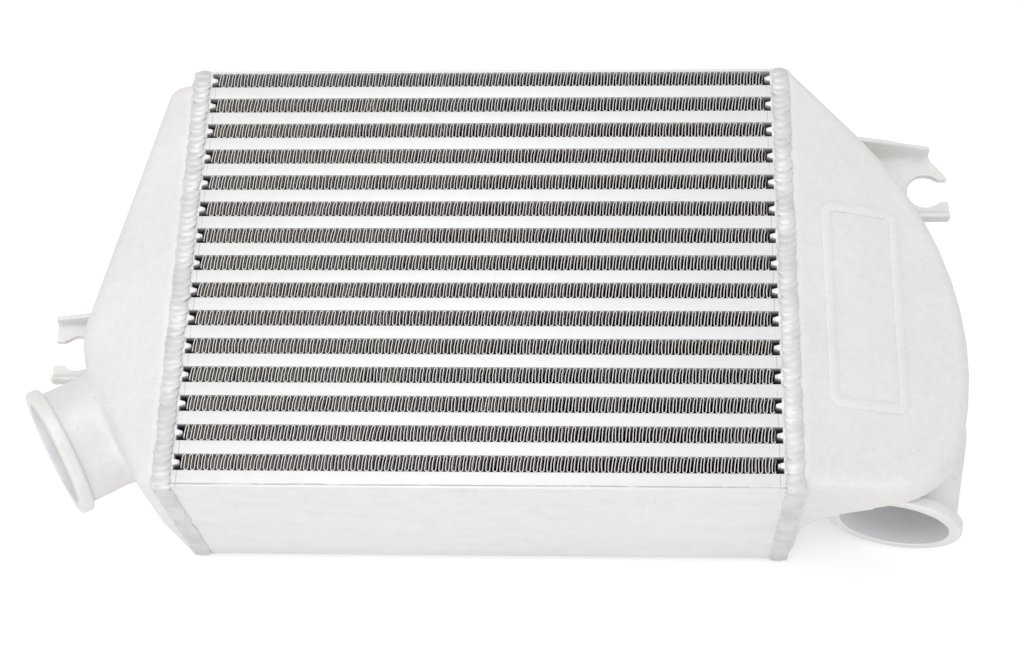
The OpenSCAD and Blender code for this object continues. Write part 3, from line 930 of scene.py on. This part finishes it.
def bar_finish():
    mat, tree, shader, place = finish("core_bars", 0.3, 0.4)
    mill, edge_light = use(tree, mill_streaks, place), use(tree, edge_light_and_shade, place)
    along = put(tree, "SeparateXYZ", {0: place}).outputs
    below = calc(tree, "MINIMUM", minus(tree, core_top, along["Z"]), minus(tree, along["Z"], core_low))
    on_open_face = calc(tree, "LESS_THAN", below, 0.6 * MM)
    across = minus(tree, calc(tree, "ABSOLUTE", along["X"]), core_end - bead_w / 2 - joint_inset)
    beside = minus(tree, along["Y"], plate_high[1])
    marks = []
    for offset, half in ((across, 0.22 * MM), (beside, 0.3 * MM)):
        line = use(tree, joint_line, place, Half_width=half)
        tree.links.new(offset, line["Line"].node.inputs["Offset"])
        marks.append(times(tree, line["Line"], on_open_face))
    marks = calc(tree, "MAXIMUM", *marks)
    inside = times(tree, calc(tree, "GREATER_THAN", along["Y"], plate_high[1] + 1 * MM),
                   calc(tree, "LESS_THAN", along["Y"], rear_low[1] - 1 * MM))
    # painted shade: darker with depth inside the core, between the side plates
    depth_shade = times(tree, spread(tree, below, 0.5 * MM, 5 * MM), inside)
    streak = spread(tree, mill["Streak"], 0.35, 0.65)
    colour = blend(tree, streak, (0.76, 0.76, 0.77), (0.83, 0.83, 0.835))
    colour = blend(tree, times(tree, mill["Scratch"], 0.3), colour, (0.6, 0.6, 0.61))
    # painted highlight along the arrises of the bars
    colour = blend(tree, times(tree, edge_light["Edge highlight"], 0.5), colour, (0.9, 0.9, 0.9))
    # painted light: the open faces, top and bottom, are painted a shade darker so the light they catch does
    # not burn out
    colour = blend(tree, on_open_face, colour, (0.955, 0.955, 0.958), "MULTIPLY")
    colour = blend(tree, times(tree, marks, 0.65), colour, (0.4, 0.38, 0.35))
    colour = blend(tree, times(tree, depth_shade, 0.9), colour, (0.13, 0.13, 0.14))
    tree.links.new(colour, shader.inputs["Base Color"])
    tree.links.new(spread(tree, mill["Streak"], 0.3, 0.7, 0.36, 0.5), shader.inputs["Roughness"])
    emboss(tree, shader, minus(tree, mill["Height"], marks), 0.25, 0.12 * MM)
    return mat


dress(core_pieces, bar_finish())

# %% [markdown]
# The weld is glossier than the casting. It is painted bright on the crests of its drops as a highlight and
# painted dark in the hollows between them as shade, with a trace of soot.

# %% Finish of the welds


def weld_finish():
    mat, tree, shader, place = finish("weld_bead", 0.3, 0.4)
    skin, edge_light = use(tree, weld_skin, place), use(tree, edge_light_and_shade, place)
    tint = spread(tree, skin["Tint"], 0.35, 0.65)
    colour = blend(tree, tint, (0.61, 0.61, 0.62), (0.73, 0.725, 0.72))
    # painted shade in the hollows between the drops
    colour = blend(tree, times(tree, edge_light["Crease shade"], 0.65), colour, (0.3, 0.3, 0.31))
    # painted highlight on the crests of the drops
    colour = blend(tree, times(tree, edge_light["Edge highlight"], 0.7), colour, (0.92, 0.92, 0.92))
    colour = blend(tree, times(tree, skin["Soot"], 0.7), colour, (0.3, 0.3, 0.3))
    tree.links.new(colour, shader.inputs["Base Color"])
    tree.links.new(spread(tree, skin["Tint"], 0.35, 0.65, 0.48, 0.32), shader.inputs["Roughness"])
    emboss(tree, shader, skin["Height"], 0.2, 0.2 * MM)
    return mat


dress([left_bead, right_bead], weld_finish())

# %% [markdown]
# The fins are thin bright sheet: pale at the cut edges, brownish where the brazing flux has settled on the
# near crests, and painted a bluish grey down in the folds as the shade that falls there.

# %% Finish of the cooling fins


def fin_finish():
    mat, tree, shader, place = finish("fin_sheet", 0.3, 0.42)
    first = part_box("air_fin_01")
    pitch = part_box("air_fin_02")[0][1] - first[0][1]
    tone = use(tree, fin_tone, place, First_row=first[0][1], Row_pitch=pitch,
               Row_depth=first[1][1] - first[0][1], Top=core_top, Low=core_low)
    skin = use(tree, weld_skin, place)
    faint_tint = times(tree, skin["Tint"], 0.25)
    colour = blend(tree, faint_tint, (0.5, 0.51, 0.54), (0.62, 0.6, 0.57))
    colour = blend(tree, times(tree, tone["Near crest"], 0.8), colour, (0.66, 0.58, 0.48))
    # painted shade down in the folds
    colour = blend(tree, tone["Depth"], colour, (0.34, 0.34, 0.365))
    colour = blend(tree, tone["Cut edge"], colour, (0.75, 0.74, 0.72))
    tree.links.new(colour, shader.inputs["Base Color"])
    tree.links.new(spread(tree, skin["Tint"], 0.3, 0.7, 0.3, 0.45), shader.inputs["Roughness"])
    emboss(tree, shader, skin["Height"], 0.15, 0.1 * MM)
    return mat


dress(fin_rows, fin_finish())

# %% [markdown]
# The fins inside the tubes are seen only through a hose neck. They are plain sheet from the mill, and stay
# the solids that they are, so the finish goes on their own slots.

# %% Finish of the inner fins


def inner_fin_finish():
    mat, tree, shader, place = finish("inner_fin_sheet", 0.6, 0.42)
    mill = use(tree, mill_streaks, place)
    streak = spread(tree, mill["Streak"], 0.35, 0.65)
    colour = blend(tree, streak, (0.52, 0.52, 0.53), (0.64, 0.63, 0.62))
    tree.links.new(colour, shader.inputs["Base Color"])
    tree.links.new(spread(tree, mill["Streak"], 0.3, 0.7, 0.36, 0.5), shader.inputs["Roughness"])
    emboss(tree, shader, mill["Height"], 0.2, 0.1 * MM)
    return mat


inner = inner_fin_finish()
for name, node in frame["nodes"].items():
    if name.startswith("turbulator"):
        for slot in node.material_slots:
            slot.material = inner
print("finishes:", [m.name for m in bpy.data.materials if m.users])

# %% [markdown]
# ## The studio
# Pale metal on a pale ground is read by soft shades, so the light comes from all round. A white room gives
# most of it. What looks straight at the room, or mirrors it, sees pure white, and the metal itself gets a
# little less, which keeps the pale faces from burning out.

# %% The white room
room_light = 0.73
world = bpy.data.worlds.new("studio")
bpy.context.scene.world = world
world.use_nodes = True
nodes, links = world.node_tree.nodes, world.node_tree.links
nodes.clear()
light_path = nodes.new("ShaderNodeLightPath")
soft = nodes.new("ShaderNodeBackground")
soft.inputs["Color"].default_value = (1, 1, 1, 1)
soft.inputs["Strength"].default_value = room_light
white = nodes.new("ShaderNodeBackground")
white.inputs["Color"].default_value = (1, 1, 1, 1)
white.inputs["Strength"].default_value = 1
seen = nodes.new("ShaderNodeMath")
seen.operation = "MAXIMUM"
seen_too = nodes.new("ShaderNodeMath")
seen_too.operation = "MAXIMUM"
mix = nodes.new("ShaderNodeMixShader")
output = nodes.new("ShaderNodeOutputWorld")
links.new(light_path.outputs["Is Camera Ray"], seen.inputs[0])
links.new(light_path.outputs["Is Glossy Ray"], seen.inputs[1])
links.new(seen.outputs[0], seen_too.inputs[0])
links.new(light_path.outputs["Is Transmission Ray"], seen_too.inputs[1])
links.new(seen_too.outputs[0], mix.inputs["Fac"])
links.new(soft.outputs[0], mix.inputs[1])
links.new(white.outputs[0], mix.inputs[2])
links.new(mix.outputs[0], output.inputs["Surface"])
print("room light", room_light, "nodes", len(nodes))

# %% [markdown]
# The cooler lies on a pale floor that keeps its shadow. The floor glows a little towards the camera alone,
# so that it melts into the white room behind, and casts no light of its own on the metal.

# %% The floor
floor_tone, floor_glow = 0.9, 0.32
bpy.ops.object.select_all(action="DESELECT")
bpy.ops.mesh.primitive_plane_add(size=12, location=(0, 0, cad_box[0][2]))
floor = bpy.context.object
floor.name = "floor"
floor_mat = bpy.data.materials.new("floor")
floor_mat.use_nodes = True
shader = floor_mat.node_tree.nodes["Principled BSDF"]
shader.inputs["Base Color"].default_value = (floor_tone, floor_tone, floor_tone, 1)
shader.inputs["Roughness"].default_value = 0.9
shader.inputs["Emission Color"].default_value = (1, 1, 1, 1)
path = floor_mat.node_tree.nodes.new("ShaderNodeLightPath")
glow = floor_mat.node_tree.nodes.new("ShaderNodeMath")
glow.operation = "MULTIPLY"
glow.inputs[1].default_value = floor_glow
floor_mat.node_tree.links.new(path.outputs["Is Camera Ray"], glow.inputs[0])
floor_mat.node_tree.links.new(glow.outputs[0], shader.inputs["Emission Strength"])
floor.data.materials.append(floor_mat)
print("floor at", cad_box[0][2], "tone", floor_tone)

# %% [markdown]
# Three softboxes shape the pale metal: a large one overhead and to the rear draws the upper faces, a weak
# one at the left gives the beads their small highlights, and a low wide one in front lifts the front plate
# and the mouths. All are wide, so their shadows stay soft.

# %% The softboxes

def softbox(name, place, aim, size, power):
    data = bpy.data.lights.new(name, "AREA")
    data.shape = "RECTANGLE"
    data.size, data.size_y = size
    data.energy = power
    lamp = bpy.data.objects.new(name, data)
    lamp.location = place
    lamp.rotation_euler = (Vector(aim) - Vector(place)).to_track_quat("-Z", "Y").to_euler()
    bpy.context.scene.collection.objects.link(lamp)
    return lamp


softbox("overhead_box", (-0.3, 0.4, 1.8), (0, 0, 0.05), (1.6, 1.2), 7.5)
softbox("side_box", (-1.5, -0.8, 1.1), (0, 0, 0.05), (1.0, 1.0), 3)
softbox("front_box", (0.2, -1.9, 0.75), (0, 0, 0.05), (1.8, 0.9), 8)

bpy.context.scene.view_settings.view_transform = "Standard"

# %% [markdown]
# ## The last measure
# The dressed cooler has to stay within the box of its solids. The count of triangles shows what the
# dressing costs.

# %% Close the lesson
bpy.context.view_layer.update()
made = [left_tank, right_tank, left_bead, right_bead] + fin_rows + core_pieces
print("triangles added:", sum(triangles(piece) for piece in made))
